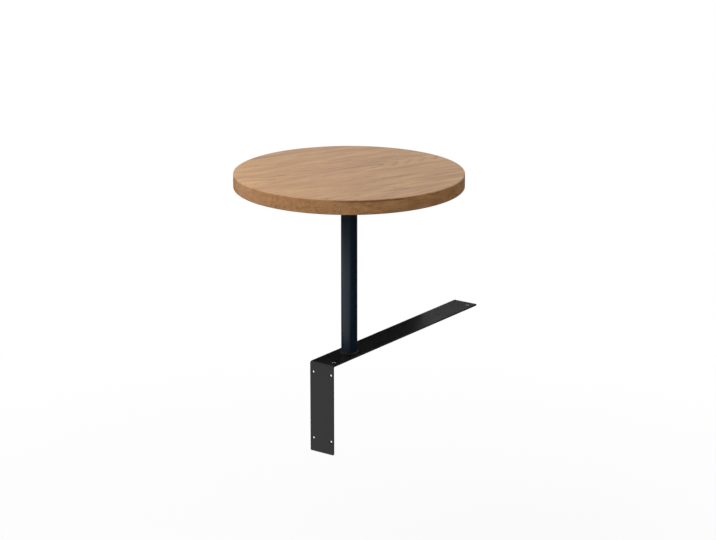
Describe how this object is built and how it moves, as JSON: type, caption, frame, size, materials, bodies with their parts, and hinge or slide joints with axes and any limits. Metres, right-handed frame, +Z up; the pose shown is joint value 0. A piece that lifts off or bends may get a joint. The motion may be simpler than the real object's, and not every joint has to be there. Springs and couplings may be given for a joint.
{
  "type": "bench-mounted cafe table",
  "caption": "Round oak table top on a slim steel post, welded to a bent flat-strip bracket that screws to the top and front of a bench, ledge or low wall.",
  "frame": {"origin": "on the post's axis, on the underside of the strip, where the strip rests on the bench", "axes": "+Z up along the post, +Y back along the strip that lies on the bench, X across the strip"},
  "size_m": [0.4, 0.574, 0.491],
  "materials": {
    "oak": "matt oil",
    "black_steel": "satin black powder coat",
    "zinc_steel": "bright zinc plate"
  },
  "bodies": {
    "root": {"oak_stave_1": "oak", "oak_stave_2": "oak", "oak_stave_3": "oak", "oak_stave_4": "oak", "oak_stave_5": "oak", "oak_stave_6": "oak", "bench_bracket": "black_steel", "post_tube": "black_steel", "foot_weld": "black_steel", "head_weld": "black_steel", "head_plate": "black_steel", "threaded_inserts": "zinc_steel", "top_washers": "zinc_steel", "top_screws": "zinc_steel"}
  },
  "joints": []
}
